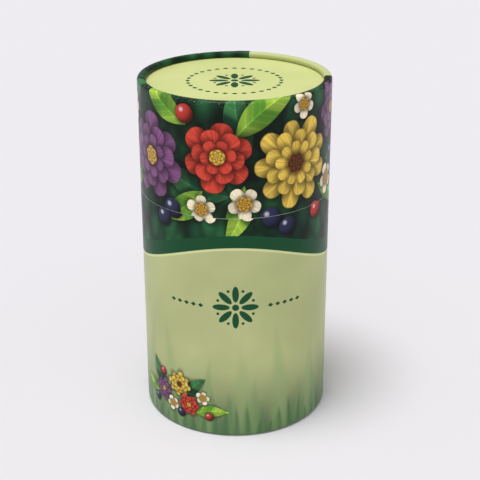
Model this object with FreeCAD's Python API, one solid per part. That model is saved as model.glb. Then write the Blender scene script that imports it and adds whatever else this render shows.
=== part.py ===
import FreeCAD, Part
import math
import os

# Round paper gift tube with a shoulder neck. The lid and the base are wound board tubes of one outside
# diameter, each covered with printed paper and rolled inwards at its closed end over a board disc.
# An inner neck tube is glued into the base, stands up past its edge, and carries the lid.
# Frame: +Z up along the tube, origin at the middle of the foot, -Y is the front of the print.
# All lengths are in millimetres and all angles in degrees.

# Overall sizes
tube_diameter = 83.0  # over the printed paper
tube_height = 154.0  # foot to the crest of the lid's rolled rim
lid_height = 49.4  # open edge of the lid to its crest
neck_rise = 28.0  # neck showing above the base when the lid is off

# Papers and boards
wrap_paper = 0.2  # printed and laminated cover paper
lining_paper = 0.15  # white paper on the neck and inside
lid_wall = 1.0
neck_wall = 1.4
disc_board = 1.8

# Fits
glue_line = 0.03
disc_fit = 0.1  # round the edge of a disc pushed into its tube
slide_clearance = 0.3  # round the neck inside the lid

# Rolled rims
roll_core = 0.1  # inside radius of the rolled board
rim_flat = 1.0  # crest of the lid's rim, pressed flat
foot_flat = 1.0  # ring that the base stands on
rim_curl = 80.0  # how far the rolls curl on past the vertical, until they press on their discs

# Neck edge
neck_edge = 0.3  # rounding of the neck's top edges
turn_in = 12.0  # cover paper folded down inside the neck

# Overlap where the two ends of the printed paper meet at the back
wrap_overlap = 6.0  # along the round of the tube
overlap_bearing = 85.0  # middle of the overlap, from +X towards +Y

# Radii, from the outside in
wrap_radius = tube_diameter / 2
board_radius = wrap_radius - wrap_paper - glue_line
lid_bore = board_radius - lid_wall
lid_lining_radius = lid_bore - glue_line
neck_radius = lid_lining_radius - lining_paper - slide_clearance
neck_board_radius = neck_radius - lining_paper - glue_line
neck_bore = neck_board_radius - neck_wall
neck_lining_radius = neck_bore - glue_line
base_bore = neck_radius + glue_line
base_wall = board_radius - base_bore

# Rolls: the board bends round its core, and the paper bends round the board
paper_step = glue_line + wrap_paper
lid_roll = lid_wall + roll_core
base_roll = base_wall + roll_core
lid_wrap_roll = lid_roll + paper_step
base_wrap_roll = base_roll + paper_step
curl_share = math.sin(math.radians(rim_curl))  # of a roll's radius, from its middle to the disc

# Heights, from the foot up
underside_z = base_wrap_roll + base_wrap_roll * curl_share
base_disc_z = underside_z + lining_paper
floor_paper_z = base_disc_z + disc_board
floor_z = floor_paper_z + lining_paper
seam_z = tube_height - lid_height
neck_top_z = seam_z + neck_rise
turn_in_z = neck_top_z - neck_edge - glue_line - lining_paper - turn_in
lid_face_z = tube_height - lid_wrap_roll - lid_wrap_roll * curl_share
lid_disc_top_z = lid_face_z - wrap_paper
lid_disc_z = lid_disc_top_z - disc_board
ceiling_z = lid_disc_z - lining_paper

AXIS_POINT = FreeCAD.Vector(0, 0, 0)
AXIS = FreeCAD.Vector(0, 0, 1)
FULL_TURN = 360


def at(radius, height):
    return FreeCAD.Vector(radius, 0, height)


def line(start, end):
    return Part.LineSegment(start, end).toShape()


def quarter(start, end, centre):
    """Quarter circle from start to end about centre."""
    towards = (start - centre) + (end - centre)
    middle = centre + towards.normalize() * (start - centre).Length
    return Part.Arc(start, middle, end).toShape()


def spin(edges, turn=FULL_TURN):
    """Solid of revolution about the tube's axis."""
    return Part.Face(Part.Wire(edges)).revolve(AXIS_POINT, AXIS, turn)


def box_section(inner, outer, low, high):
    """Edges of a plain rectangular section."""
    corners = [at(inner, low), at(outer, low), at(outer, high), at(inner, high)]
    return [line(a, b) for a, b in zip(corners, corners[1:] + corners[:1])]


def ring(outer, wall, low, high):
    return spin(box_section(outer - wall, outer, low, high))


def disc(radius, low, high):
    return spin(box_section(0, radius, low, high))


def rolled_section(outer, wall, roll, flat, open_z, crest_z, curl=0, tail=0):
    """Edges of a wall that runs from open_z to crest_z and rolls inwards over a flat crest.

    The roll curls on past the vertical by the angle curl, or runs straight on by the length tail.
    """
    way = math.copysign(1, crest_z - open_z)
    turn_z = crest_z - way * roll
    under_z = crest_z - way * wall
    near = outer - roll
    far = near - flat
    core = roll - wall
    near_centre = at(near, turn_z)
    far_centre = at(far, turn_z)

    def past_vertical(radius, angle):
        turn = math.radians(angle)
        return at(far - radius * math.cos(turn), turn_z - way * (radius * math.sin(turn) + tail))

    outside = far_centre - at(roll, 0)
    inside = far_centre - at(core, 0)
    if curl:
        end = [
            Part.Arc(outside, past_vertical(roll, curl / 2), past_vertical(roll, curl)).toShape(),
            line(past_vertical(roll, curl), past_vertical(core, curl)),
            Part.Arc(past_vertical(core, curl), past_vertical(core, curl / 2), inside).toShape(),
        ]
    else:
        end = [
            line(outside, past_vertical(roll, 0)),
            line(past_vertical(roll, 0), past_vertical(core, 0)),
            line(past_vertical(core, 0), inside),
        ]
    return [
        line(at(outer, open_z), at(outer, turn_z)),
        quarter(at(outer, turn_z), at(near, crest_z), near_centre),
        line(at(near, crest_z), at(far, crest_z)),
        quarter(at(far, crest_z), outside, far_centre),
        *end,
        quarter(inside, at(far, under_z), far_centre),
        line(at(far, under_z), at(near, under_z)),
        quarter(at(near, under_z), at(outer - wall, turn_z), near_centre),
        line(at(outer - wall, turn_z), at(outer - wall, open_z)),
        line(at(outer - wall, open_z), at(outer, open_z)),
    ]


def overlap_flap(low, high):
    """Second layer of printed paper where its ends overlap, on the straight of the wall."""
    turn = math.degrees(wrap_overlap / wrap_radius)
    flap = spin(box_section(wrap_radius, wrap_radius + wrap_paper, low, high), turn)
    flap.rotate(AXIS_POINT, AXIS, overlap_bearing - turn / 2)
    return flap


# Lid

def lid_tube():
    crest = tube_height - paper_step
    return spin(rolled_section(board_radius, lid_wall, lid_roll, rim_flat, seam_z, crest, rim_curl))


def lid_wrap():
    skin = spin(
        rolled_section(wrap_radius, wrap_paper, lid_wrap_roll, rim_flat, seam_z, tube_height, rim_curl)
    )
    return skin.fuse(overlap_flap(seam_z, tube_height - lid_wrap_roll))


def lid_face_paper():
    return disc(lid_bore - disc_fit, lid_disc_top_z, lid_face_z)


def lid_disc():
    return disc(lid_bore - disc_fit, lid_disc_z, lid_disc_top_z)


def lid_ceiling_paper():
    return disc(lid_bore - disc_fit, ceiling_z, lid_disc_z)


def lid_lining():
    return ring(lid_lining_radius, lining_paper, seam_z, ceiling_z)


# Base

def base_tube():
    crest = paper_step
    return spin(rolled_section(board_radius, base_wall, base_roll, foot_flat, seam_z, crest, rim_curl))


def base_wrap():
    skin = spin(rolled_section(wrap_radius, wrap_paper, base_wrap_roll, foot_flat, seam_z, 0, rim_curl))
    return skin.fuse(overlap_flap(base_wrap_roll, seam_z))


def underside_paper():
    return disc(base_bore - disc_fit, underside_z, base_disc_z)


def base_disc():
    return disc(base_bore - disc_fit, base_disc_z, floor_paper_z)


def floor_paper():
    return disc(base_bore - disc_fit, floor_paper_z, floor_z)


# Neck, glued into the base and standing on its floor

def neck_tube():
    top = neck_top_z - lining_paper - glue_line
    shoulder = top - neck_edge
    outer_centre = at(neck_board_radius - neck_edge, shoulder)
    inner_centre = at(neck_bore + neck_edge, shoulder)
    return spin(
        [
            line(at(neck_bore, floor_z), at(neck_board_radius, floor_z)),
            line(at(neck_board_radius, floor_z), at(neck_board_radius, shoulder)),
            quarter(at(neck_board_radius, shoulder), at(outer_centre.x, top), outer_centre),
            line(at(outer_centre.x, top), at(inner_centre.x, top)),
            quarter(at(inner_centre.x, top), at(neck_bore, shoulder), inner_centre),
            line(at(neck_bore, shoulder), at(neck_bore, floor_z)),
        ]
    )


def neck_cover():
    fold = neck_edge + glue_line + lining_paper
    land = neck_wall - 2 * neck_edge
    return spin(rolled_section(neck_radius, lining_paper, fold, land, floor_z, neck_top_z, tail=turn_in))


def neck_lining():
    return ring(neck_lining_radius, lining_paper, floor_z, turn_in_z - glue_line)


PIECES = [
    lid_tube,
    lid_wrap,
    lid_face_paper,
    lid_disc,
    lid_ceiling_paper,
    lid_lining,
    base_tube,
    base_wrap,
    underside_paper,
    base_disc,
    floor_paper,
    neck_tube,
    neck_cover,
    neck_lining,
]

os.makedirs("parts", exist_ok=True)
for piece in PIECES:
    piece().exportStep(f"parts/{piece.__name__}.step")
print(f"tube {tube_diameter} by {tube_height}, seam at {seam_z}, neck to {neck_top_z}")
print(f"floor at {floor_z:.2f}, inside radius {neck_lining_radius - lining_paper:.2f}")
print(f"ceiling at {ceiling_z:.2f}, lid inside radius {lid_lining_radius - lining_paper:.2f}")
print(f"base wall {base_wall:.2f}, lid face {tube_height - lid_face_z:.2f} below the crest")
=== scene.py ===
import math
import bpy
from mathutils import Matrix, Vector, noise


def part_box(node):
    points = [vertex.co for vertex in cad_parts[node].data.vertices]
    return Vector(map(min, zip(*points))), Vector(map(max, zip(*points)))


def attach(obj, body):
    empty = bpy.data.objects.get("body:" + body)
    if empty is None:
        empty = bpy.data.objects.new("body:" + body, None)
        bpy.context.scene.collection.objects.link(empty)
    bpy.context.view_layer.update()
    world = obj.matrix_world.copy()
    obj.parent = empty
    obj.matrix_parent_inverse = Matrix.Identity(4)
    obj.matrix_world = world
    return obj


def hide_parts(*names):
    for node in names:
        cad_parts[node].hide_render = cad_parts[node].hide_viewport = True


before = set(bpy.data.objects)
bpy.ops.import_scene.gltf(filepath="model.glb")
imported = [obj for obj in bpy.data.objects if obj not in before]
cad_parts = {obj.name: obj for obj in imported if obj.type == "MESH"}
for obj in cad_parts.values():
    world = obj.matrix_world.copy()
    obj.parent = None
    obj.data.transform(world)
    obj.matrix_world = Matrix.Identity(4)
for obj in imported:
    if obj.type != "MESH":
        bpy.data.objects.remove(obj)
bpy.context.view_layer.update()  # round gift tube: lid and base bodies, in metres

mm = 0.001
fullTurn = 2 * math.pi
print("frame loaded:", sorted(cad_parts))

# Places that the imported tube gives
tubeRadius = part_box("lid_wrap")[1].x
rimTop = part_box("lid_wrap")[1].z
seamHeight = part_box("lid_wrap")[0].z
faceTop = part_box("lid_face_paper")[1].z
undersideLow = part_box("underside_paper")[0].z
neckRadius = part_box("neck_cover")[1].x
neckLow, neckTop = (corner.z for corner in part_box("neck_cover"))


def linearColour(hexText):  # sRGB hex to linear RGBA
    values = [int(hexText[i:i + 2], 16) / 255 for i in (1, 3, 5)]
    linear = [v / 12.92 if v <= 0.04045 else ((v + 0.055) / 1.055) ** 2.4 for v in values]
    return (*linear, 1.0)


def addNode(tree, kind, inputs=None, out=0, **settings):  # sets and links one node, and gives one output
    node = tree.nodes.new("ShaderNode" + kind)
    for key, value in settings.items():
        setattr(node, key, value)
    for key, value in (inputs or {}).items():
        if isinstance(value, bpy.types.NodeSocket):
            tree.links.new(value, node.inputs[key])
        else:
            node.inputs[key].default_value = value
    return node.outputs[out]


def newMaterial(name):
    material = bpy.data.materials.new(name)
    material.use_nodes = True
    tree = material.node_tree
    return material, tree, tree.nodes["Principled BSDF"]


def newGroup(name, sockets):  # a motif that paints itself over the colour given as Under
    group = bpy.data.node_groups.new(name, "ShaderNodeTree")
    for socketName, kind in sockets.items():
        group.interface.new_socket(socketName, in_out="INPUT", socket_type="NodeSocket" + kind)
    group.interface.new_socket("Colour", in_out="OUTPUT", socket_type="NodeSocketVector")
    return group, group.nodes.new("NodeGroupInput").outputs


def closeGroup(group, colour):
    group.links.new(colour, group.nodes.new("NodeGroupOutput").inputs["Colour"])
    return group


def deselectAll():
    bpy.ops.object.select_all(action="DESELECT")


# Motifs of the print, in millimetres on the unrolled sheet. Colours travel as vectors here: a change of
# socket type would reorder the long chain of nodes, and the renderer would run out of room for it.

placeSockets = {name: "Vector" for name in ("Under", "Point", "Centre", "Along", "Across")}

# A Map Range that eases in and out and stays in range
soft = {"interpolation_type": "SMOOTHSTEP", "clamp": False}

noiseRange = (0.3, 0.7)  # where most of a noise texture's values lie


def between(value, start, end, low=0.0, high=1.0):  # the value and the ranges of a Map Range node
    return {"Value": value, "From Min": start, "From Max": end, "To Min": low, "To Max": high}


def sheetPlace(tree, point):  # how far along the sheet and how far up it
    u = addNode(tree, "VectorMath", {0: point, 1: (1, 0, 0)}, out=1, operation="DOT_PRODUCT")
    v = addNode(tree, "VectorMath", {0: point, 1: (0, 1, 0)}, out=1, operation="DOT_PRODUCT")
    return u, v


def motifPlace(tree, given):  # the sheet's point seen from the motif: centred, turned, in motif sizes
    away = addNode(tree, "VectorMath", {0: given["Point"], 1: given["Centre"]}, operation="SUBTRACT")
    x = addNode(tree, "VectorMath", {0: away, 1: given["Along"]}, out=1, operation="DOT_PRODUCT")
    y = addNode(tree, "VectorMath", {0: away, 1: given["Across"]}, out=1, operation="DOT_PRODUCT")
    return x, y


def roundPlace(tree, given):  # the same point by its distance from the motif's middle and its angle round it
    x, y = motifPlace(tree, given)
    place = addNode(tree, "CombineXYZ", {0: x, 1: y})
    reach = addNode(tree, "VectorMath", {0: place}, out=1, operation="LENGTH")
    angle = addNode(tree, "Math", {0: y, 1: x}, operation="ARCTAN2")
    return reach, angle


def layMotif(group, under, motif, share, look):  # share is 1 on its outline, and its shadow falls past it
    cast = addNode(group, "MapRange", between(share, *look["shadow"], look["shadowTone"], 1.0), **soft)
    dim = addNode(group, "VectorMath", {0: under, "Scale": cast}, operation="SCALE")
    cover = addNode(group, "MapRange", between(share, 1.0, look["edge"]), **soft)
    return closeGroup(group, addNode(group, "Mix", {0: cover, 4: dim, 5: motif}, out=1, data_type="VECTOR"))


def inkMotif(group, given, cover):  # one flat ink over what lies under it
    return closeGroup(group, addNode(
        group, "Mix", {0: cover, 4: given["Under"], 5: given["Ink"]}, out=1, data_type="VECTOR",
    ))


# Shares of a petal's length and half width, and the tones that go with them
petalLook = {
    "notchCurve": 2.6,  # how late a petal's side turns in
    "seedStep": 17.3,  # sets the chances of one round of petals apart from the next
    "length": (0.94, 1.03),
    "blush": (0.12, 0.82),  # where the throat's colour gives way to the tip's
    "threads": 9.0,  # streaks to a petal
    "streakTone": (0.8, 1.12),
    "sideStart": 0.35,
    "sideTone": (1.06, 0.5),
    "petalTone": (0.94, 1.2),
    "shadow": (0.95, 1.45),
    "shadowTone": 0.35,
    "edge": 0.96,
}


def petalRingGroup():  # one round of petals with notched tips, streaks and a soft shadow under them
    group, given = newGroup("petalRing", {
        "Under": "Vector", "Turns": "Float", "Reach": "Float", "Count": "Float", "Phase": "Float",
        "Radius": "Float", "Notch": "Float", "Tip": "Vector", "Throat": "Vector",
    })
    look = petalLook
    step = addNode(
        group, "Math", {0: given["Turns"], 1: given["Count"], 2: given["Phase"]}, operation="MULTIPLY_ADD",
    )
    cell = addNode(group, "Math", {0: step}, operation="FRACT")
    half = addNode(group, "Math", {0: cell, 1: 2.0, 2: -1.0}, operation="MULTIPLY_ADD")
    side = addNode(group, "Math", {0: half}, operation="ABSOLUTE")  # 0 on a petal's middle, 1 between two
    bite = addNode(group, "Math", {0: side, 1: look["notchCurve"]}, operation="POWER")
    cut = addNode(group, "Math", {0: bite, 1: given["Notch"]}, operation="MULTIPLY")
    scallop = addNode(group, "Math", {0: 1.0, 1: cut}, operation="SUBTRACT")
    petal = addNode(group, "Math", {0: step}, operation="FLOOR")
    petal = addNode(group, "Math", {0: petal, 1: given["Count"]}, operation="FLOORED_MODULO")
    seed = addNode(
        group, "Math", {0: given["Radius"], 1: look["seedStep"], 2: petal}, operation="MULTIPLY_ADD",
    )
    chance = addNode(group, "TexWhiteNoise", {"W": seed}, noise_dimensions="1D")
    length = addNode(group, "MapRange", between(chance, 0, 1, *look["length"]), **soft)
    edge = addNode(group, "Math", {0: scallop, 1: given["Radius"]}, operation="MULTIPLY")
    edge = addNode(group, "Math", {0: edge, 1: length}, operation="MULTIPLY")
    along = addNode(group, "Math", {0: given["Reach"], 1: edge}, operation="DIVIDE")
    blush = addNode(group, "MapRange", between(along, *look["blush"]), **soft)
    colour = addNode(group, "Mix", {0: blush, 4: given["Throat"], 5: given["Tip"]}, out=1, data_type="VECTOR")
    thread = addNode(group, "Math", {0: step, 1: look["threads"], 2: seed}, operation="MULTIPLY_ADD")
    streak = addNode(group, "TexNoise", {"W": thread, "Scale": 1.0, "Detail": 2.0}, noise_dimensions="1D")
    grain = addNode(group, "MapRange", between(streak, *noiseRange, *look["streakTone"]), **soft)
    fall = addNode(group, "MapRange", between(side, look["sideStart"], 1.0, *look["sideTone"]), **soft)
    tone = addNode(group, "MapRange", between(chance, 0, 1, *look["petalTone"]), **soft)
    light = addNode(group, "Math", {0: grain, 1: fall}, operation="MULTIPLY")
    light = addNode(group, "Math", {0: light, 1: tone}, operation="MULTIPLY")
    lit = addNode(group, "VectorMath", {0: colour, "Scale": light}, operation="SCALE")
    return layMotif(group, given["Under"], lit, along, look)


eyeLook = {
    "size": 0.45,  # of the innermost round of petals
    "shadow": 1.5,  # eye sizes
    "shadowTone": 0.4,
    "beadTurns": 6.0,
    "beadSteps": 11.0,
    "beads": (-0.6, 0.8),
    "beadTone": (0.4, 1.1),
    "edge": 0.86,
}


def bloomGroup(name, rings, petalRing):  # rings: radius, phase and notch of each round of petals, outside in
    group, given = newGroup(name, {
        **placeSockets, "Count": "Float", "Tip": "Vector", "Throat": "Vector", "Eye": "Vector",
    })
    look = eyeLook
    reach, angle = roundPlace(group, given)
    turns = addNode(group, "Math", {0: angle, 1: 1 / fullTurn}, operation="MULTIPLY")
    colour = given["Under"]
    for radius, phase, notch in rings:
        colour = addNode(group, "Group", {
            "Under": colour, "Turns": turns, "Reach": reach, "Count": given["Count"], "Phase": phase,
            "Radius": radius, "Notch": notch, "Tip": given["Tip"], "Throat": given["Throat"],
        }, node_tree=petalRing)
    size = look["size"] * rings[-1][0]
    cast = addNode(group, "MapRange", between(
        reach, size, look["shadow"] * size, look["shadowTone"], 1.0,
    ), **soft)
    dim = addNode(group, "VectorMath", {0: colour, "Scale": cast}, operation="SCALE")
    beadTurns = addNode(group, "Math", {0: angle, 1: look["beadTurns"]}, operation="MULTIPLY")
    beadTurns = addNode(group, "Math", {0: beadTurns}, operation="COSINE")
    beadSteps = addNode(group, "Math", {0: reach, 1: look["beadSteps"] / size}, operation="MULTIPLY")
    beadSteps = addNode(group, "Math", {0: beadSteps}, operation="COSINE")
    beads = addNode(group, "Math", {0: beadTurns, 1: beadSteps}, operation="MULTIPLY")
    beadLight = addNode(group, "MapRange", between(beads, *look["beads"], *look["beadTone"]), **soft)
    eye = addNode(group, "VectorMath", {0: given["Eye"], "Scale": beadLight}, operation="SCALE")
    cover = addNode(group, "MapRange", between(reach, size, look["edge"] * size), **soft)
    return closeGroup(group, addNode(group, "Mix", {0: cover, 4: dim, 5: eye}, out=1, data_type="VECTOR"))


# Lengths in halves of the leaf's length
leafLook = {
    "bend": 0.14,
    "narrowing": -0.3,  # towards the tip
    "slimmest": 0.5,
    "thinnest": 0.002,  # keeps the half width above 0 at the two ends
    "veinSlant": -0.8,
    "veinStep": 0.11,
    "vein": (0.0, 0.04),
    "veinTone": (1.25, 1.0),
    "flank": (-0.02, 0.02),  # the side turned from the light meets the lit one
    "flankTone": (0.78, 1.08),
    "blotches": 1.6,
    "rib": (0.012, 0.03),
    "ribTone": (1.45, 1.0),
    "shadow": (0.9, 1.8),
    "shadowTone": 0.45,
    "edge": 0.93,
}


def leafGroup():  # one pointed leaf, stalk to the left before it is turned, with a rib and side veins
    group, given = newGroup("leaf", {**placeSockets, "Width": "Float", "Light": "Vector", "Dark": "Vector"})
    look = leafLook
    x, y = motifPlace(group, given)
    square = addNode(group, "Math", {0: x, 1: x}, operation="MULTIPLY")
    y = addNode(group, "Math", {0: square, 1: look["bend"], 2: y}, operation="MULTIPLY_ADD")
    away = addNode(group, "Math", {0: y}, operation="ABSOLUTE")
    bulge = addNode(group, "Math", {0: 1.0, 1: square}, operation="SUBTRACT")
    past = addNode(group, "Math", {0: bulge, 1: 0.0}, operation="MINIMUM")  # below 0 past the leaf's two ends
    bulge = addNode(group, "Math", {0: bulge, 1: look["thinnest"]}, operation="MAXIMUM")
    skew = addNode(group, "Math", {0: x, 1: look["narrowing"], 2: 1.0}, operation="MULTIPLY_ADD")
    skew = addNode(group, "Math", {0: skew, 1: look["slimmest"]}, operation="MAXIMUM")
    half = addNode(group, "Math", {0: bulge, 1: skew}, operation="MULTIPLY")
    half = addNode(group, "Math", {0: half, 1: given["Width"]}, operation="MULTIPLY")
    clear = addNode(group, "Math", {0: away, 1: past}, operation="SUBTRACT")
    across = addNode(group, "Math", {0: clear, 1: half}, operation="DIVIDE")
    slant = addNode(group, "Math", {0: away, 1: look["veinSlant"], 2: x}, operation="MULTIPLY_ADD")
    vein = addNode(group, "Math", {0: slant, 1: look["veinStep"]}, operation="PINGPONG")
    veinLight = addNode(group, "MapRange", between(vein, *look["vein"], *look["veinTone"]), **soft)
    flank = addNode(group, "MapRange", between(y, *look["flank"], *look["flankTone"]), **soft)
    blotch = addNode(
        group, "TexNoise", {"W": slant, "Scale": look["blotches"], "Detail": 1.0}, noise_dimensions="1D",
    )
    blend = addNode(group, "MapRange", between(blotch, *noiseRange), **soft)
    colour = addNode(group, "Mix", {0: blend, 4: given["Dark"], 5: given["Light"]}, out=1, data_type="VECTOR")
    rib = addNode(group, "MapRange", between(away, *look["rib"], *look["ribTone"]), **soft)
    light = addNode(group, "Math", {0: veinLight, 1: flank}, operation="MULTIPLY")
    light = addNode(group, "Math", {0: light, 1: rib}, operation="MULTIPLY")
    lit = addNode(group, "VectorMath", {0: colour, "Scale": light}, operation="SCALE")
    return layMotif(group, given["Under"], lit, across, look)


berryLook = {
    "lightFrom": (-0.45, 0.5, 0.74),
    "facing": (-0.1, 1.0),
    "tone": (0.16, 1.2),
    "shineAt": (-0.34, 0.38, 0.0),
    "shine": (0.34, 0.06),
    "shineShare": 0.7,
    "shineColour": "#E6E6F0",
    "shadow": (0.95, 1.4),
    "shadowTone": 0.35,
    "edge": 0.93,
}


def berryGroup():  # one round berry, lit from the upper left, with a spot of shine
    group, given = newGroup("berry", {**placeSockets, "Skin": "Vector"})
    look = berryLook
    x, y = motifPlace(group, given)
    place = addNode(group, "CombineXYZ", {0: x, 1: y})
    reach = addNode(group, "VectorMath", {0: place}, out=1, operation="LENGTH")
    square = addNode(group, "Math", {0: reach, 1: reach}, operation="MULTIPLY")
    rise = addNode(group, "Math", {0: 1.0, 1: square}, operation="SUBTRACT")
    rise = addNode(group, "Math", {0: rise, 1: 0.0}, operation="MAXIMUM")
    rise = addNode(group, "Math", {0: rise}, operation="SQRT")
    outward = addNode(group, "CombineXYZ", {0: x, 1: y, 2: rise})
    facing = addNode(group, "VectorMath", {0: outward, 1: look["lightFrom"]}, out=1, operation="DOT_PRODUCT")
    shade = addNode(group, "MapRange", between(facing, *look["facing"], *look["tone"]), **soft)
    lit = addNode(group, "VectorMath", {0: given["Skin"], "Scale": shade}, operation="SCALE")
    offShine = addNode(group, "VectorMath", {0: place, 1: look["shineAt"]}, out=1, operation="DISTANCE")
    shine = addNode(group, "MapRange", between(offShine, *look["shine"], 0.0, look["shineShare"]), **soft)
    shineColour = linearColour(look["shineColour"])[:3]
    lit = addNode(group, "Mix", {0: shine, 4: lit, 5: shineColour}, out=1, data_type="VECTOR")
    return layMotif(group, given["Under"], lit, reach, look)


# Shares of a leaf's own height and of the row's spacing
leafRowLook = {
    "height": (0.45, 1.0),
    "leanSeed": 0.37,  # sets the chances of the lean apart from those of the height
    "lean": (-0.3, 0.3),
    "taper": 0.8,
    "halfWidth": 0.34,
    "thinnest": 0.001,
    "edge": (1.5, 0.2),
    "tipFade": (0.0, 0.5),
}


def leafRowGroup():  # soft pointed leaves in a row on the sheet's foot, each with its own height and lean
    group, given = newGroup("leafRow", {
        "Under": "Vector", "Point": "Vector", "Pitch": "Float", "Height": "Float", "Shift": "Float",
        "Ink": "Vector", "Strength": "Float",
    })
    look = leafRowLook
    u, v = sheetPlace(group, given["Point"])
    u = addNode(group, "Math", {0: u, 1: given["Shift"]}, operation="ADD")
    step = addNode(group, "Math", {0: u, 1: given["Pitch"]}, operation="DIVIDE")
    cell = addNode(group, "Math", {0: step}, operation="FLOOR")
    seed = addNode(group, "Math", {0: cell, 1: given["Shift"]}, operation="ADD")
    tall = addNode(group, "TexWhiteNoise", {"W": seed}, noise_dimensions="1D")
    tall = addNode(group, "MapRange", between(tall, 0, 1, *look["height"]), **soft)
    tall = addNode(group, "Math", {0: tall, 1: given["Height"]}, operation="MULTIPLY")
    up = addNode(group, "Math", {0: v, 1: tall}, operation="DIVIDE")
    leanSeed = addNode(group, "Math", {0: seed, 1: look["leanSeed"]}, operation="ADD")
    lean = addNode(group, "TexWhiteNoise", {"W": leanSeed}, noise_dimensions="1D")
    lean = addNode(group, "MapRange", between(lean, 0, 1, *look["lean"]), **soft)
    bend = addNode(group, "Math", {0: up, 1: up}, operation="MULTIPLY")
    lean = addNode(group, "Math", {0: lean, 1: bend}, operation="MULTIPLY")
    across = addNode(group, "Math", {0: step}, operation="FRACT")
    across = addNode(group, "Math", {0: across, 1: 0.5}, operation="SUBTRACT")
    across = addNode(group, "Math", {0: across, 1: lean}, operation="SUBTRACT")
    across = addNode(group, "Math", {0: across}, operation="ABSOLUTE")
    left = addNode(group, "Math", {0: 1.0, 1: up}, operation="SUBTRACT")
    left = addNode(group, "Math", {0: left, 1: 0.0}, operation="MAXIMUM")
    half = addNode(group, "Math", {0: left, 1: look["taper"]}, operation="POWER")
    half = addNode(
        group, "Math", {0: half, 1: look["halfWidth"], 2: look["thinnest"]}, operation="MULTIPLY_ADD",
    )
    share = addNode(group, "Math", {0: across, 1: half}, operation="DIVIDE")
    cover = addNode(group, "MapRange", between(share, *look["edge"]), **soft)
    fade = addNode(group, "MapRange", between(left, *look["tipFade"]), **soft)
    cover = addNode(group, "Math", {0: cover, 1: fade}, operation="MULTIPLY")
    cover = addNode(group, "Math", {0: cover, 1: given["Strength"]}, operation="MULTIPLY")
    return inkMotif(group, given, cover)


# Shares of the rosette's radius
rosetteLook = {
    "petals": 8,
    "petalAt": (0.62, 0.0, 0.0),
    "petalShape": (2.7, 7.0, 1.0),  # one over a petal's half length and half width
    "petalEdge": (1.05, 0.95),
    "dotReach": 0.82,
    "dotEdge": (0.075, 0.055),
    "middleEdge": (0.16, 0.14),
}


def rosetteGroup():  # plain eight-petalled rosette with a dot between the petals, in one ink
    group, given = newGroup("rosette", {**placeSockets, "Ink": "Vector"})
    look = rosetteLook
    reach, angle = roundPlace(group, given)
    halfStep = math.pi / look["petals"]
    around = addNode(group, "Math", {0: angle, 1: halfStep}, operation="PINGPONG")  # 0 on a petal's middle
    along = addNode(group, "Math", {0: around}, operation="COSINE")
    along = addNode(group, "Math", {0: along, 1: reach}, operation="MULTIPLY")
    off = addNode(group, "Math", {0: around}, operation="SINE")
    off = addNode(group, "Math", {0: off, 1: reach}, operation="MULTIPLY")
    local = addNode(group, "CombineXYZ", {0: along, 1: off})
    shape = addNode(group, "VectorMath", {0: local, 1: look["petalAt"]}, operation="SUBTRACT")
    shape = addNode(group, "VectorMath", {0: shape, 1: look["petalShape"]}, operation="MULTIPLY")
    petal = addNode(group, "VectorMath", {0: shape}, out=1, operation="LENGTH")
    petal = addNode(group, "MapRange", between(petal, *look["petalEdge"]), **soft)
    dotAt = (look["dotReach"] * math.cos(halfStep), look["dotReach"] * math.sin(halfStep), 0.0)
    dot = addNode(group, "VectorMath", {0: local, 1: dotAt}, out=1, operation="DISTANCE")
    dot = addNode(group, "MapRange", between(dot, *look["dotEdge"]), **soft)
    middle = addNode(group, "MapRange", between(reach, *look["middleEdge"]), **soft)
    cover = addNode(group, "Math", {0: petal, 1: dot}, operation="MAXIMUM")
    cover = addNode(group, "Math", {0: cover, 1: middle}, operation="MAXIMUM")
    return inkMotif(group, given, cover)


lozengeLook = {"slope": 1.3, "edge": (0.4, 0.34)}  # in steps from one lozenge to the next


def lozenge(group, cell, rise):  # 1 inside one; cell and rise are the distances from its middle
    spread = addNode(group, "Math", {0: rise, 1: lozengeLook["slope"], 2: cell}, operation="MULTIPLY_ADD")
    return addNode(group, "MapRange", between(spread, *lozengeLook["edge"]), **soft)


def lozengeRowGroup():  # lozenges in a row; its size is one step, and Half is half its length in steps
    group, given = newGroup("lozengeRow", {**placeSockets, "Half": "Float", "Ink": "Vector"})
    x, y = motifPlace(group, given)
    cell = addNode(group, "Math", {0: x, 1: 0.5}, operation="PINGPONG")
    rise = addNode(group, "Math", {0: y}, operation="ABSOLUTE")
    cover = lozenge(group, cell, rise)
    length = addNode(group, "Math", {0: x}, operation="ABSOLUTE")
    inside = addNode(group, "Math", {0: length, 1: given["Half"]}, operation="LESS_THAN")
    cover = addNode(group, "Math", {0: cover, 1: inside}, operation="MULTIPLY")
    return inkMotif(group, given, cover)


def lozengeRingGroup():  # lozenges on a circle; its size is the circle's radius
    group, given = newGroup("lozengeRing", {**placeSockets, "Count": "Float", "Ink": "Vector"})
    reach, angle = roundPlace(group, given)
    perTurn = addNode(group, "Math", {0: given["Count"], 1: 1 / fullTurn}, operation="MULTIPLY")
    steps = addNode(group, "Math", {0: angle, 1: perTurn}, operation="MULTIPLY")
    cell = addNode(group, "Math", {0: steps, 1: 0.5}, operation="PINGPONG")
    rise = addNode(group, "Math", {0: reach, 1: 1.0}, operation="SUBTRACT")
    rise = addNode(group, "Math", {0: rise, 1: perTurn}, operation="MULTIPLY")
    rise = addNode(group, "Math", {0: rise}, operation="ABSOLUTE")
    return inkMotif(group, given, lozenge(group, cell, rise))


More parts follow.
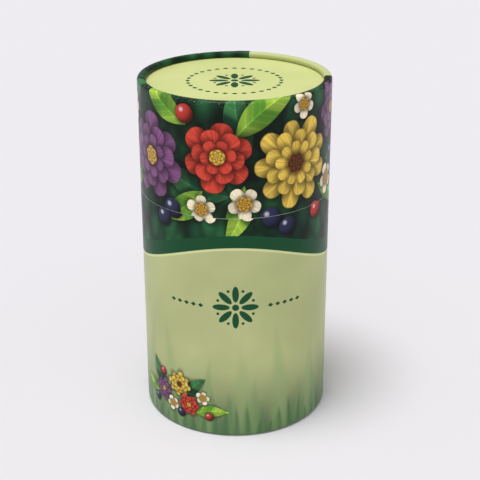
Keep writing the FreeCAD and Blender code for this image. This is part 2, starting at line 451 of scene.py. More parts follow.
petalRing = petalRingGroup()
motifGroups = {
    "bloom": bloomGroup("bloom", [(1.0, 0.0, 0.34), (0.76, 0.5, 0.3), (0.5, 0.2, 0.28)], petalRing),
    "blossom": bloomGroup("blossom", [(1.0, 0.0, 0.4)], petalRing),
    "leaf": leafGroup(),
    "berry": berryGroup(),
    "rosette": rosetteGroup(),
    "lozengeRow": lozengeRowGroup(),
    "lozengeRing": lozengeRingGroup(),
}
leafRow = leafRowGroup()
print("motif groups made:", sorted(motifGroups))

# Printed wrap: a generic design of flowers, leaves and berries over a pale green field

inks = {
    "red": {"Tip": "#CB4433", "Throat": "#7A1813", "Eye": "#E3B94A"},
    "violet": {"Tip": "#7E4F7C", "Throat": "#351A3A", "Eye": "#DDB24C"},
    "yellow": {"Tip": "#E2C053", "Throat": "#B87C22", "Eye": "#6B3C18"},
    "cream": {"Tip": "#EFE4C4", "Throat": "#D5B57A", "Eye": "#D2A03A"},
    "limeLeaf": {"Light": "#A5C848", "Dark": "#5C952E"},
    "deepLeaf": {"Light": "#3F7D48", "Dark": "#17492F"},
    "navy": {"Skin": "#2B2F4E"},
    "redBerry": {"Skin": "#BC3A2F"},
    "green": {"Ink": "#17512F"},
}

# Motifs in the order of painting: kind, ink, and for each one its place along and up the sheet, its size, its
# turn in degrees and the value of its kind's own socket
ownSocket = {
    "leaf": "Width", "bloom": "Count", "blossom": "Count", "lozengeRow": "Half", "lozengeRing": "Count",
}
picture = [
    ("leaf", "deepLeaf", (-57, 148, 17, 60, 0.34), (-18, 118, 18, 160, 0.34), (50, 122, 19, -20, 0.32)),
    ("leaf", "deepLeaf", (2, 147, 16, 100, 0.36)),
    ("leaf", "limeLeaf", (14, 151, 17, 35, 0.36), (-33, 152, 16, 140, 0.36), (56, 106, 15, -35, 0.36)),
    ("leaf", "limeLeaf", (-60, 112, 15, 205, 0.36), (2, 105, 14, 250, 0.34)),
    ("bloom", "violet", (-40, 126, 19, 10, 7), (56, 143, 13, 30, 6)),
    ("bloom", "yellow", (28, 126, 20, 0, 9)),
    ("bloom", "red", (-6, 131, 15.5, 50, 6)),
    ("leaf", "limeLeaf", (-22, 107, 13, 215, 0.4)),
    ("blossom", "cream", (5, 111, 7.5, 20, 5), (-13, 108, 6.5, 55, 5), (51, 113, 7, 5, 5)),
    ("blossom", "cream", (-60, 143, 6.5, 35, 5), (32, 150, 6, 15, 5)),
    ("berry", "navy", (-27, 106, 4.6, 0), (-33, 101, 4.2, 0), (16, 104, 4.8, 0), (23, 99, 4.3, 0)),
    ("berry", "navy", (57.5, 123, 4.6, 0)),
    ("berry", "redBerry", (-20, 148, 4.2, 0), (40, 102, 4.0, 0)),
    ("leaf", "deepLeaf", (-84, 120, 20, 120, 0.32)),
    ("leaf", "limeLeaf", (-122, 142, 17, 60, 0.36), (-76, 148, 16, 20, 0.36)),
    ("bloom", "yellow", (-90, 136, 16, 20, 8)),
    ("bloom", "violet", (-117, 122, 17, 35, 7)),
    ("bloom", "red", (-85, 111, 11, 0, 6)),
    ("blossom", "cream", (-102, 106, 7, 10, 5), (-69, 124, 6.5, 40, 5)),
    ("berry", "navy", (-72, 107, 4.6, 0), (-130, 106, 4.4, 0)),
]
posy = [
    ("leaf", "limeLeaf", (-46, 15, 8, 165, 0.36)),
    ("leaf", "deepLeaf", (-40, 23, 9, 125, 0.36), (-20, 22, 9, 50, 0.36)),
    ("leaf", "limeLeaf", (-11, 12, 8, 8, 0.36)),
    ("bloom", "violet", (-37, 16, 5.6, 0, 7)),
    ("bloom", "yellow", (-27, 22, 6.2, 15, 8)),
    ("bloom", "red", (-22, 13, 5.4, 30, 6)),
    ("blossom", "cream", (-31, 11, 3.6, 10, 5), (-15, 18, 3.4, 40, 5)),
    ("berry", "navy", (-42, 10, 2.3, 0), (-26, 8, 2.2, 0)),
    ("berry", "redBerry", (-37, 25, 2.1, 0), (-12, 9, 2.0, 0)),
]
ornament = [
    ("rosette", "green", (0, 64, 10, 0)),
    ("lozengeRow", "green", (-22, 64, 3.4, 0, 2.5), (22, 64, 3.4, 0, 2.5)),
    ("rosette", "green", (93.5, 70, 9, 0)),
    ("lozengeRow", "green", (93.5, 52, 3.2, 0, 5.5)),
]
faceOrnament = [
    ("rosette", "green", (0, 0, 11, 0)),
    ("lozengeRing", "green", (0, 0, 20, 0, 32)),
]
layout = {
    "foot": -8,  # lowest and highest print on the unrolled sheets, past their rolls
    "top": 165,
    "motifReach": 1.5,  # motif sizes, with the shadow
    "panelStart": 63.5,  # plain lime panel from here to the sheet's right end
    "panelRule": 0.8,
    "panelRise": (5, 80),
    "panelFoot": "#A9B87A",
    "panelTop": "#D5DC9A",
    "archMiddle": 90.0,  # dark band under the picture, an arch with its crown at the front
    "archSwing": 7.0,
    "archLength": 133.0,
    "bandGreen": "#134E2D",
    "lineMiddle": 83.5,  # pale line along the band's lower edge
    "lineSwing": 8.0,
    "lineWidth": 1.1,
    "paleLine": "#DDE3A6",
    "lidTurn": 1.2,  # the lid is set down a little turned, so the print steps at the joint
    "bareMargin": 0.5,  # unprinted edge of the sheet, where it was cut
    "bareColour": "#C8DDB2",
}


def paintMotifs(tree, colour, point, motifs, low, high):  # only the motifs that reach into this height
    for kind, ink, *places in motifs:
        colours = {name: linearColour(hexText)[:3] for name, hexText in inks[ink].items()}
        for along, up, size, turn, *own in places:
            reach = layout["motifReach"] * size
            if up + reach < low or up - reach > high:
                continue
            cosine, sine = math.cos(math.radians(turn)) / size, math.sin(math.radians(turn)) / size
            colour = addNode(tree, "Group", {
                "Under": colour, "Point": point, "Centre": (along, up, 0.0),
                "Along": (cosine, sine, 0.0), "Across": (-sine, cosine, 0.0),
                **{ownSocket[kind]: value for value in own}, **colours,
            }, node_tree=motifGroups[kind])
    return colour


foliageLook = {
    "leaf": (7, 13),  # millimetres across and along
    "turn": 0.5,  # radians
    "smoothness": 0.5,
    "dark": "#0C3526",
    "light": "#2B6A3E",
    "depth": (0.1, 0.75),
    "depthTone": (1.15, 0.25),
}


def foliage(tree, point):  # dim leaves behind the flowers
    look = foliageLook
    width, length = look["leaf"]
    tall = addNode(tree, "Mapping", {
        "Vector": point, "Rotation": (0, 0, look["turn"]), "Scale": (1 / width, 1 / length, 1),
    })
    cells = {"Vector": tall, "Scale": 1.0, "Smoothness": look["smoothness"]}
    near = addNode(tree, "TexVoronoi", cells, feature="SMOOTH_F1")
    own = addNode(tree, "TexVoronoi", cells, out=1, feature="SMOOTH_F1")
    tone = addNode(tree, "SeparateColor", {0: own}, out=0)
    colour = addNode(tree, "Mix", {
        0: tone, 4: linearColour(look["dark"])[:3], 5: linearColour(look["light"])[:3],
    }, out=1, data_type="VECTOR")
    depth = addNode(tree, "MapRange", between(near, *look["depth"], *look["depthTone"]), **soft)
    return addNode(tree, "VectorMath", {0: colour, "Scale": depth}, operation="SCALE")


fieldLook = {
    "foot": "#496B49",
    "top": "#C0C78D",
    "rise": (-5, 42),  # heights in millimetres
    "cloud": 34,
    "cloudTone": (0.92, 1.06),
    # Rows of soft leaves, tallest first: spacing, height, shift, ink and strength
    "leafRows": [
        (17, 62, 5.0, "#9DB47A", 0.5),
        (11, 44, 41.0, "#7F9E68", 0.5),
        (7, 30, 83.0, "#5F8655", 0.55),
        (5, 19, 127.0, "#446C45", 0.6),
    ],
}


def paleField(tree, point, v):  # pale yellow-green, deeper towards the foot, with soft leaves standing in it
    look = fieldLook
    rise = addNode(tree, "MapRange", between(v, *look["rise"]), **soft)
    colour = addNode(tree, "Mix", {
        0: rise, 4: linearColour(look["foot"])[:3], 5: linearColour(look["top"])[:3],
    }, out=1, data_type="VECTOR")
    cloud = addNode(tree, "TexNoise", {"Vector": point, "Scale": 1 / look["cloud"], "Detail": 2.0})
    cloud = addNode(tree, "MapRange", between(cloud, *noiseRange, *look["cloudTone"]), **soft)
    colour = addNode(tree, "VectorMath", {0: colour, "Scale": cloud}, operation="SCALE")
    for pitch, height, shift, ink, strength in look["leafRows"]:
        colour = addNode(tree, "Group", {
            "Under": colour, "Point": point, "Pitch": pitch, "Height": height, "Shift": shift,
            "Ink": linearColour(ink)[:3], "Strength": strength,
        }, node_tree=leafRow)
    return colour


filmLook = {
    "roughness": (0.3, 0.39),
    "scuff": 8.0,  # millimetres
    "ior": 1.5,
    "specular": 0.15,
    "fibre": 0.5,  # millimetres
    "relief": 0.06,
    "depth": 0.05 * mm,
}


def satinFilm(tree, shader, point):  # matt satin laminate: deep colours face on, pale shine at a slant
    look = filmLook
    scuff = addNode(tree, "TexNoise", {"Vector": point, "Scale": 1 / look["scuff"], "Detail": 4.0})
    gloss = addNode(tree, "MapRange", between(scuff, *noiseRange, *look["roughness"]))
    tree.links.new(gloss, shader.inputs["Roughness"])
    shader.inputs["IOR"].default_value = look["ior"]
    shader.inputs["Specular IOR Level"].default_value = look["specular"]
    fibre = addNode(tree, "TexNoise", {"Vector": point, "Scale": 1 / look["fibre"], "Detail": 3.0})
    relief = addNode(tree, "Bump", {"Strength": look["relief"], "Distance": look["depth"], "Height": fibre})
    tree.links.new(relief, shader.inputs["Normal"])


# Millimetres past the crest of a rolled rim
rimShadeAndWear = {
    "fold": (1.8, 4.6),  # painted shade in the fold at the disc
    "foldTone": 0.68,
    "rub": (2.4, 0.4),  # rubbed in specks on the roll, and most at its crest
    "speck": 0.6,
    "speckRange": (0.58, 0.72),
    "speckShare": 0.5,
    "speckColour": "#DDE2DA",
}


def printedPaper(name, sheet, low, high):  # art paper under a satin film: clean print, soft broad shine
    material, tree, shader = newMaterial(name)
    point = addNode(tree, "UVMap", uv_map="sheet")
    u, v = sheetPlace(tree, point)
    colour = paintMotifs(tree, foliage(tree, point), point, picture, low, high)
    bandGreen = linearColour(layout["bandGreen"])[:3]
    paleLine = linearColour(layout["paleLine"])[:3]
    if low < layout["archMiddle"]:
        swing = addNode(tree, "Math", {0: u, 1: fullTurn / layout["archLength"]}, operation="MULTIPLY")
        swing = addNode(tree, "Math", {0: swing}, operation="COSINE")
        for key, ink in (("arch", bandGreen), ("line", paleLine)):
            edge = addNode(tree, "Math", {
                0: swing, 1: layout[key + "Swing"], 2: layout[key + "Middle"],
            }, operation="MULTIPLY_ADD")
            below = addNode(tree, "Math", {0: v, 1: edge}, operation="LESS_THAN")
            colour = addNode(tree, "Mix", {0: below, 4: colour, 5: ink}, out=1, data_type="VECTOR")
        edge = addNode(tree, "Math", {0: edge, 1: layout["lineWidth"]}, operation="SUBTRACT")
        below = addNode(tree, "Math", {0: v, 1: edge}, operation="LESS_THAN")
        field = paintMotifs(tree, paleField(tree, point, v), point, posy, low, high)
        colour = addNode(tree, "Mix", {0: below, 4: colour, 5: field}, out=1, data_type="VECTOR")
    inPanel = addNode(tree, "Math", {0: u, 1: layout["panelStart"]}, operation="GREATER_THAN")
    rule = addNode(
        tree, "Math", {0: u, 1: layout["panelStart"] + layout["panelRule"]}, operation="GREATER_THAN",
    )
    lime = addNode(tree, "MapRange", between(v, *layout["panelRise"]), **soft)
    lime = addNode(tree, "Mix", {
        0: lime, 4: linearColour(layout["panelFoot"])[:3], 5: linearColour(layout["panelTop"])[:3],
    }, out=1, data_type="VECTOR")
    panel = addNode(tree, "Mix", {0: rule, 4: bandGreen, 5: lime}, out=1, data_type="VECTOR")
    colour = addNode(tree, "Mix", {0: inPanel, 4: colour, 5: panel}, out=1, data_type="VECTOR")
    colour = paintMotifs(tree, colour, point, ornament, low, high)
    bare = addNode(tree, "Math", {0: u, 1: leftEnd(sheet) + layout["bareMargin"]}, operation="LESS_THAN")
    bareColour = linearColour(layout["bareColour"])[:3]
    colour = addNode(tree, "Mix", {0: bare, 4: colour, 5: bareColour}, out=1, data_type="VECTOR")
    off = addNode(tree, "Math", {0: v, 1: sheet["crest"] / mm}, operation="SUBTRACT")
    # Painted shade: the print is darkened past the crest, into the fold where the roll presses on the disc
    foldStart, foldEnd = (sheet["way"] * distance for distance in rimShadeAndWear["fold"])
    fold = addNode(tree, "MapRange", between(off, foldStart, foldEnd, 1.0, rimShadeAndWear["foldTone"]), **soft)
    colour = addNode(tree, "VectorMath", {0: colour, "Scale": fold}, operation="SCALE")
    off = addNode(tree, "Math", {0: off}, operation="ABSOLUTE")
    near = addNode(tree, "MapRange", between(off, *rimShadeAndWear["rub"]), **soft)
    speck = addNode(tree, "TexNoise", {"Vector": point, "Scale": 1 / rimShadeAndWear["speck"], "Detail": 3.0})
    speck = addNode(
        tree, "MapRange", between(speck, *rimShadeAndWear["speckRange"], 0.0, rimShadeAndWear["speckShare"]), **soft,
    )
    worn = addNode(tree, "Math", {0: near, 1: speck}, operation="MULTIPLY")
    speckColour = linearColour(rimShadeAndWear["speckColour"])[:3]
    colour = addNode(tree, "Mix", {0: worn, 4: colour, 5: speckColour}, out=1, data_type="VECTOR")
    tree.links.new(colour, shader.inputs["Base Color"])
    satinFilm(tree, shader, point)
    return material


def objectPlace(tree):  # the piece's own coordinates, in millimetres
    place = addNode(tree, "TexCoord", out=3)
    return addNode(tree, "Mapping", {"Vector": place, "Scale": (1 / mm, 1 / mm, 1 / mm)})


def mattFinish(tree, shader, colour, height, look):  # dull surface, roughened by its fibres
    tree.links.new(colour, shader.inputs["Base Color"])
    shader.inputs["Roughness"].default_value = look["roughness"]
    relief = addNode(tree, "Bump", {"Strength": look["relief"], "Distance": look["depth"], "Height": height})
    tree.links.new(relief, shader.inputs["Normal"])


limeLook = {"cloud": 30, "dark": "#DCE496", "light": "#E3E99E", "reach": 45}  # lengths in millimetres


def limePaper():  # lime art paper under the same film, with a ring ornament in green
    look = limeLook
    material, tree, shader = newMaterial("limeArtPaper")
    point = objectPlace(tree)
    cloud = addNode(tree, "TexNoise", {"Vector": point, "Scale": 1 / look["cloud"], "Detail": 2.0})
    cloud = addNode(tree, "MapRange", between(cloud, *noiseRange), **soft)
    colour = addNode(tree, "Mix", {
        0: cloud, 4: linearColour(look["dark"])[:3], 5: linearColour(look["light"])[:3],
    }, out=1, data_type="VECTOR")
    colour = paintMotifs(tree, colour, point, faceOrnament, -look["reach"], look["reach"])
    tree.links.new(colour, shader.inputs["Base Color"])
    satinFilm(tree, shader, point)
    return material


coreLook = {"fibre": 0.4 * mm, "dark": "#E4DFD2", "light": "#F6F3EB", "roughness": 0.85}


def paperCore():  # cut edge and back of the sheet: bare white fibre
    look = coreLook
    material, tree, shader = newMaterial("paperCore")
    place = addNode(tree, "TexCoord", out=3)
    fibre = addNode(tree, "TexNoise", {"Vector": place, "Scale": 1 / look["fibre"], "Detail": 3.0})
    colour = addNode(tree, "Mix", {
        0: fibre, 6: linearColour(look["dark"]), 7: linearColour(look["light"]),
    }, out=2, data_type="RGBA")
    tree.links.new(colour, shader.inputs["Base Color"])
    shader.inputs["Roughness"].default_value = look["roughness"]
    return material


liningLook = {
    "fibre": 0.6,  # millimetres
    "cloud": 18,
    "toneRange": (0.7, 1.3),
    "dark": "#EAE7DF",
    "light": "#F3F0EA",
    "lead": 64,  # rise of the spiral joint in one turn
    "joint": (0.1, 0.45),
    "jointTone": 0.8,
    "roughness": 0.82,
    "relief": 0.2,
    "depth": 0.08 * mm,
}


def whitePaper(name, lead=0):  # uncoated lining: matt warm white, fine fibre, a spiral joint if wound
    look = liningLook
    material, tree, shader = newMaterial(name)
    point = objectPlace(tree)
    fibre = addNode(tree, "TexNoise", {
        "Vector": point, "Scale": 1 / look["fibre"], "Detail": 4.0, "Roughness": 0.65,
    })
    cloud = addNode(tree, "TexNoise", {"Vector": point, "Scale": 1 / look["cloud"], "Detail": 2.0})
    tone = addNode(tree, "Math", {0: fibre, 1: cloud}, operation="ADD")
    tone = addNode(tree, "MapRange", between(tone, *look["toneRange"]), **soft)
    colour = addNode(tree, "Mix", {
        0: tone, 6: linearColour(look["dark"]), 7: linearColour(look["light"]),
    }, out=2, data_type="RGBA")
    height = fibre
    if lead:
        x, y, z = (addNode(tree, "SeparateXYZ", {0: point}, out=part) for part in range(3))
        angle = addNode(tree, "Math", {0: y, 1: x}, operation="ARCTAN2")
        climb = addNode(tree, "Math", {0: angle, 1: lead / fullTurn, 2: z}, operation="MULTIPLY_ADD")
        off = addNode(tree, "Math", {0: climb, 1: lead / 2}, operation="PINGPONG")  # mm from the spiral joint
        joint = addNode(tree, "MapRange", between(off, *look["joint"], look["jointTone"], 1.0), **soft)
        colour = addNode(tree, "VectorMath", {0: colour, "Scale": joint}, operation="SCALE")
        height = addNode(tree, "Math", {0: fibre, 1: joint}, operation="MULTIPLY")
    mattFinish(tree, shader, colour, height, look)
    return material


boardLook = {
    "fleck": 0.8,  # millimetres
    "dark": "#8C8370",
    "light": "#BFB49E",
    "ply": 0.36,
    "glue": (0.0, 0.07),  # darker line between two plies
    "glueTone": 0.68,
    "roughness": 0.92,
    "relief": 0.35,
    "depth": 0.1 * mm,
}


def greyBoard():  # recycled board: dull, flecked grey-brown, with its plies showing at a cut edge
    look = boardLook
    material, tree, shader = newMaterial("greyBoard")
    point = objectPlace(tree)
    fleck = addNode(tree, "TexNoise", {
        "Vector": point, "Scale": 1 / look["fleck"], "Detail": 4.0, "Roughness": 0.7,
    })
    flecked = addNode(tree, "MapRange", between(fleck, *noiseRange), **soft)
    colour = addNode(tree, "Mix", {
        0: flecked, 6: linearColour(look["dark"]), 7: linearColour(look["light"]),
    }, out=2, data_type="RGBA")
    flat = addNode(tree, "VectorMath", {0: point, 1: (1, 1, 0)}, operation="MULTIPLY")
    radius = addNode(tree, "VectorMath", {0: flat}, out=1, operation="LENGTH")
    ply = addNode(tree, "Math", {0: radius, 1: look["ply"] / 2}, operation="PINGPONG")
    ply = addNode(tree, "MapRange", between(ply, *look["glue"], look["glueTone"], 1.0), **soft)
    colour = addNode(tree, "VectorMath", {0: colour, "Scale": ply}, operation="SCALE")
    mattFinish(tree, shader, colour, fleck, look)
    return material


wrap = {
    "sides": 360,  # one column of faces to a degree
    "wallRings": 20,
    "rollSteps": 10,
    "curlSteps": 8,
    "paper": 0.2 * mm,
    "flat": 1.0 * mm,
    "bevel": 0.04 * mm,  # softened cut edge at the lid joint
    "overlap": 6.0 * mm,
    "ramp": 1.4 * mm,  # the sheet eases over the end that lies under it
    "cutBearing": math.radians(79.2),
    "cutLean": 0.02,  # of a column, from the cut to the top of its step
    "wave": 0.05 * mm,  # slight unevenness of the glued paper
    "waveTurns": 1.7,
    "waveLength": 30 * mm,
    "smoothAngle": math.radians(40),
    "outer": tubeRadius,
    "open": seamHeight,
}
lidRoll = 1.33 * mm
baseRoll = 1.78 * mm


def curledEnd(roll, recess):  # the roll goes on past the vertical until it presses on its disc
    curl = math.asin(recess / roll - 1)
    return [(curl * (i + 1) / wrap["curlSteps"], 0.0) for i in range(wrap["curlSteps"])]


# A sheet's end is given as angles past the vertical and drops below it. Its overlap is pressed flat, ring by
# ring, from the start of the roll: on the base by the crest that it stands on, elsewhere by the end.
lidSheet = {
    **wrap, "roll": lidRoll, "crest": rimTop, "way": 1, "end": curledEnd(lidRoll, rimTop - faceTop),
    "pressedRings": 2 * wrap["rollSteps"] + wrap["curlSteps"], "shift": layout["lidTurn"], "seed": 4.0,
}
baseSheet = {
    **wrap, "roll": baseRoll, "crest": 0.0, "way": -1, "end": curledEnd(baseRoll, undersideLow),
    "pressedRings": wrap["rollSteps"], "shift": 0.0, "seed": 9.0,
}
neckSheet = {
    **wrap, "sides": 240, "wallRings": 8, "rollSteps": 5, "paper": 0.15 * mm, "roll": 0.48 * mm,
    "flat": 0.8 * mm, "overlap": 8.0 * mm, "ramp": 1.2 * mm, "cutBearing": math.radians(215),
    "wave": 0.03 * mm, "outer": neckRadius, "open": neckLow, "crest": neckTop, "way": 1,
    "end": [(0.0, 12 * mm)],  # 12 mm are turned in
    "pressedRings": 11, "shift": 0.0, "seed": 2.0,
}


def rolledRings(sheet):  # the sheet's section, outside from the open edge, then back
    roll, bevel, outer, openZ, way = (sheet[key] for key in ("roll", "bevel", "outer", "open", "way"))
    turnZ = sheet["crest"] - way * roll
    near = outer - roll
    far = near - sheet["flat"]
    quarter = [math.pi / 2 * i / sheet["rollSteps"] for i in range(sheet["rollSteps"] + 1)]
    wallStart = openZ + way * bevel
    outside = [(outer - bevel, openZ)]
    outside += [
        (outer, wallStart + (turnZ - wallStart) * i / sheet["wallRings"]) for i in range(sheet["wallRings"])
    ]
    outside += [(near + roll * math.cos(a), turnZ + way * roll * math.sin(a)) for a in quarter]
    outside += [(far - roll * math.sin(a), turnZ + way * roll * math.cos(a)) for a in quarter]
    outside += [
        (far - roll * math.cos(a), turnZ - way * (roll * math.sin(a) + drop)) for a, drop in sheet["end"]
    ]
    inner = roll - sheet["paper"]
    inside = [
        (far - inner * math.cos(a), turnZ - way * (inner * math.sin(a) + drop))
        for a, drop in reversed(sheet["end"])
    ]
    inside += [(far - inner * math.cos(a), turnZ + way * inner * math.sin(a)) for a in quarter]
    inside += [(near + inner * math.sin(a), turnZ + way * inner * math.cos(a)) for a in quarter]
    inside.append((outer - sheet["paper"], openZ))
    return outside, inside


def ringUp(name, rings, sides):  # a circle of edges is drawn along the section, ring by ring, and closed
    deselectAll()
    bpy.ops.mesh.primitive_circle_add(
        vertices=sides, radius=rings[0][0], location=(0, 0, rings[0][1]), calc_uvs=False,
    )
    piece = bpy.context.object
    piece.name = name
    bpy.ops.object.transform_apply(location=True, rotation=True, scale=True)
    bpy.ops.object.mode_set(mode="EDIT")
    bpy.ops.mesh.select_all(action="SELECT")
    for (r0, z0), (r1, z1) in zip(rings, rings[1:]):
        bpy.ops.mesh.extrude_region_move(TRANSFORM_OT_translate={"value": (0, 0, z1 - z0)})
        bpy.ops.transform.resize(value=(r1 / r0, r1 / r0, 1), center_override=(0, 0, 0))
    bpy.ops.mesh.select_mode(type="EDGE")
    bpy.ops.mesh.select_all(action="DESELECT")
    bpy.ops.mesh.select_non_manifold()
    bpy.ops.mesh.bridge_edge_loops()
    bpy.ops.mesh.select_all(action="SELECT")
    bpy.ops.mesh.normals_make_consistent(inside=False)
    bpy.ops.object.mode_set(mode="OBJECT")
    return piece


def pastCut(sheet, co):  # angle from the sheet's cut edge round to a point, leftwards as seen from the front
    half = math.pi / sheet["sides"]
    return (math.atan2(co.y, co.x) - sheet["cutBearing"] + half) % fullTurn - half


def leftEnd(sheet):  # where the sheet's left end lies along it, in millimetres from the front
    turned = (-math.pi / 2 - sheet["cutBearing"]) % fullTurn
    return sheet["shift"] - turned * sheet["outer"] / mm


def clamp(value):
    return min(max(value, 0), 1)


def ease(start, end, value):
    share = clamp((value - start) / (end - start))
    return share * share * (3 - 2 * share)


def layOverlap(piece, sheet, outside):  # one end lies on the other, with a cut step and a ramp at its sides
    columnStep = fullTurn / sheet["sides"]
    turn = sheet["wallRings"] + 1
    rampEnd = sheet["overlap"] + sheet["ramp"]
    for vertex in piece.data.vertices:
        ring = vertex.index // sheet["sides"]
        if ring >= len(outside):
            continue
        r, z = outside[ring]
        outward = Vector((1, 0))
        if ring >= turn:
            before, after = outside[ring - 1], outside[min(ring + 1, len(outside) - 1)]
            run = Vector((after[0] - before[0], after[1] - before[1])).normalized()
            outward = Vector((run.y, -run.x)) * sheet["way"]
        past = pastCut(sheet, vertex.co)
        column = round(past / columnStep)
        bearing = sheet["cutBearing"] + (sheet["cutLean"] * columnStep if column == 1 else past)
        raised = 1 - clamp((ring - turn) / sheet["pressedRings"])
        lift = 0
        if column > 0:
            lift = sheet["paper"] * (1 - ease(sheet["overlap"], rampEnd, past * sheet["outer"])) * raised
        across, along = (sheet["waveTurns"] * part for part in (math.cos(bearing), math.sin(bearing)))
        spot = Vector((across, along, z / sheet["waveLength"] + sheet["seed"]))
        r += outward.x * lift + sheet["wave"] * noise.noise(spot) * raised
        vertex.co = (r * math.cos(bearing), r * math.sin(bearing), z + outward.y * lift)


# Map for baking, in shares of its side: the printed side in bands round the tube, with gaps between them, and
# the bare back and edge in a strip below
bakeMap = {"name": "OFBake", "bands": 2, "gap": 0.006, "strip": 0.06}


def spreadSheet(piece, sheet, outside, ringCount):  # maps for print and baking, and the bare back and edge
    sides = sheet["sides"]
    heights = [outside[0][1]]
    for (r0, z0), (r1, z1) in zip(outside, outside[1:]):
        heights.append(heights[-1] + sheet["way"] * math.hypot(r1 - r0, z1 - z0))
    low, high = min(heights), max(heights)
    for name in ("sheet", bakeMap["name"]):
        piece.data.uv_layers.new(name=name)
    flat, baked = (piece.data.uv_layers[name].data for name in ("sheet", bakeMap["name"]))
    bands, gap, strip = bakeMap["bands"], bakeMap["gap"], bakeMap["strip"]
    bandHeight = (1 - strip) / bands
    for face in piece.data.polygons:
        rings = [index // sides for index in face.vertices]
        middle = pastCut(sheet, face.center)
        pasts = [pastCut(sheet, piece.data.vertices[index].co) for index in face.vertices]
        pasts = [past - fullTurn * round((past - middle) / fullTurn) for past in pasts]
        bare = max(rings) >= len(outside) or min(rings) == 0
        face.material_index = 1 if bare else 0
        band = min(max(int(middle / fullTurn * bands), 0), bands - 1)
        for loop, ring, past in zip(face.loop_indices, rings, pasts):
            height = heights[ring] if ring < len(heights) else heights[0]
            flat[loop].uv = (leftEnd(sheet) + past * sheet["outer"] / mm, height / mm)
            turn = clamp(past / fullTurn)
            if bare:  # counted in rings from the sheet's end, down its back and round to the open edge
                back = (ring if ring >= len(outside) - 1 else ring + ringCount) - len(outside) + 1
                baked[loop].uv = (turn, strip * min(back / (ringCount - len(outside) + 2), 1))
            else:
                rise = (height - low) / (high - low)
                baked[loop].uv = (
                    gap + (1 - 2 * gap) * (turn * bands - band),
                    strip + bandHeight * band + gap + (bandHeight - 2 * gap) * rise,
                )


def makeSheet(name, body, node, sheet, paper):
    outside, inside = rolledRings(sheet)
    piece = ringUp(name, outside + inside, sheet["sides"])
    layOverlap(piece, sheet, outside)
    spreadSheet(piece, sheet, outside, len(outside) + len(inside))
    deselectAll()
    piece.select_set(True)
    bpy.context.view_layer.objects.active = piece
    bpy.ops.object.shade_smooth_by_angle(angle=sheet["smoothAngle"])
    piece.data.materials.append(paper)
    piece.data.materials.append(core)
    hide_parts(node)
    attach(piece, body)
    print(name, "made with", len(piece.data.polygons), "faces")


core = paperCore()
lidPrint = printedPaper("printedArtPaperLid", lidSheet, seamHeight / mm, layout["top"])
basePrint = printedPaper("printedArtPaperBase", baseSheet, layout["foot"], seamHeight / mm)
print("print painted with", len(lidPrint.node_tree.nodes), "and", len(basePrint.node_tree.nodes), "nodes")
makeSheet("lidWrap", "lid", "lid_wrap", lidSheet, lidPrint)
makeSheet("baseWrap", "base", "base_wrap", baseSheet, basePrint)
makeSheet("neckCover", "base", "neck_cover", neckSheet, whitePaper("neckPaper"))

# The CAD solids of the other pieces have the right shapes, and take finished materials
board = greyBoard()
plainPaper = whitePaper("discPaper")
woundPaper = whitePaper("woundLiningPaper", liningLook["lead"])
finishes = {
    "lid_face_paper": limePaper(),
    "lid_tube": board,
    "lid_disc": board,
    "base_tube": board,
    "base_disc": board,
    "neck_tube": board,
    "lid_ceiling_paper": plainPaper,
    "floor_paper": plainPaper,
    "underside_paper": plainPaper,
    "lid_lining": woundPaper,
    "neck_lining": woundPaper,
}
for name, material in finishes.items():
    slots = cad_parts[name].data.materials
    slots.clear()
    slots.append(material)
print("finishes on", len(finishes), "CAD pieces")

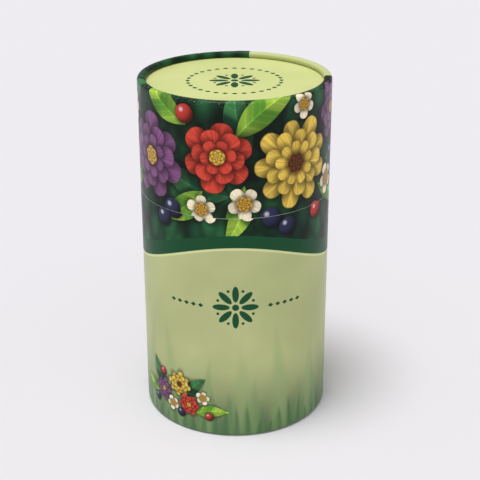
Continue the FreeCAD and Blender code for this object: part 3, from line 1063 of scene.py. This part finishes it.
# Stage
floorLook = {"colour": "#EEEBF0", "size": 8.0, "roughness": 0.9, "specular": 0.0}
deselectAll()
bpy.ops.mesh.primitive_plane_add(size=floorLook["size"], location=(0, 0, 0))
floor = bpy.context.object
floor.name = "floor"
floorMaterial, _, floorShader = newMaterial("paleFloor")
floorShader.inputs["Base Color"].default_value = linearColour(floorLook["colour"])
floorShader.inputs["Roughness"].default_value = floorLook["roughness"]
floorShader.inputs["Specular IOR Level"].default_value = floorLook["specular"]
floor.data.materials.append(floorMaterial)

world = bpy.data.worlds.new("studio")
bpy.context.scene.world = world
world.use_nodes = True
light = {
    "skyBack": 0.25,
    "skyFront": 0.72,
    "skyFacing": (-0.23, -0.97, 0.0),  # brighter on the camera's side
    "key": 1.7,
    "keyAzimuth": -52,  # degrees
    "keyElevation": 79,
    "keySpread": 22,
}
sky = world.node_tree
outwards = addNode(sky, "TexCoord")
facing = addNode(sky, "VectorMath", {0: outwards, 1: light["skyFacing"]}, out=1, operation="DOT_PRODUCT")
strength = addNode(sky, "MapRange", between(facing, -1, 1, light["skyBack"], light["skyFront"]))
sky.nodes["Background"].inputs["Color"].default_value = (1, 1, 1, 1)
sky.links.new(strength, sky.nodes["Background"].inputs["Strength"])

deselectAll()
bpy.ops.object.light_add(type="SUN", location=(0, 0, 1))
key = bpy.context.object
key.name = "keyLight"
key.data.energy = light["key"]
key.data.angle = math.radians(light["keySpread"])
azimuth, elevation = math.radians(light["keyAzimuth"]), math.radians(light["keyElevation"])
towards = Vector((
    math.sin(azimuth) * math.cos(elevation),
    -math.cos(azimuth) * math.cos(elevation),
    math.sin(elevation),
))
key.rotation_euler = towards.to_track_quat("Z", "Y").to_euler()
print("floor, sky and key light set")

# Camera, fitted to the photograph's view
shot = {
    "lens": 85.78,
    "sensor": 36,
    "back": 473.9 * mm,
    "height": 282.6 * mm,
    "pitch": 23.424,  # degrees down
    "roll": -0.25,
    "shiftX": 0.0098,
    "farthest": 20,
}
deselectAll()
bpy.ops.object.camera_add(location=(0, -shot["back"], shot["height"]))
camera = bpy.context.object
camera.name = "camera"
tilt = Matrix.Rotation(math.radians(90 - shot["pitch"]), 3, "X")
camera.rotation_euler = (tilt @ Matrix.Rotation(math.radians(shot["roll"]), 3, "Z")).to_euler()
camera.data.lens = shot["lens"]
camera.data.sensor_width = shot["sensor"]
camera.data.shift_x = shot["shiftX"]
camera.data.clip_end = shot["farthest"]
bpy.context.scene.camera = camera
bpy.context.scene.view_settings.view_transform = "Standard"
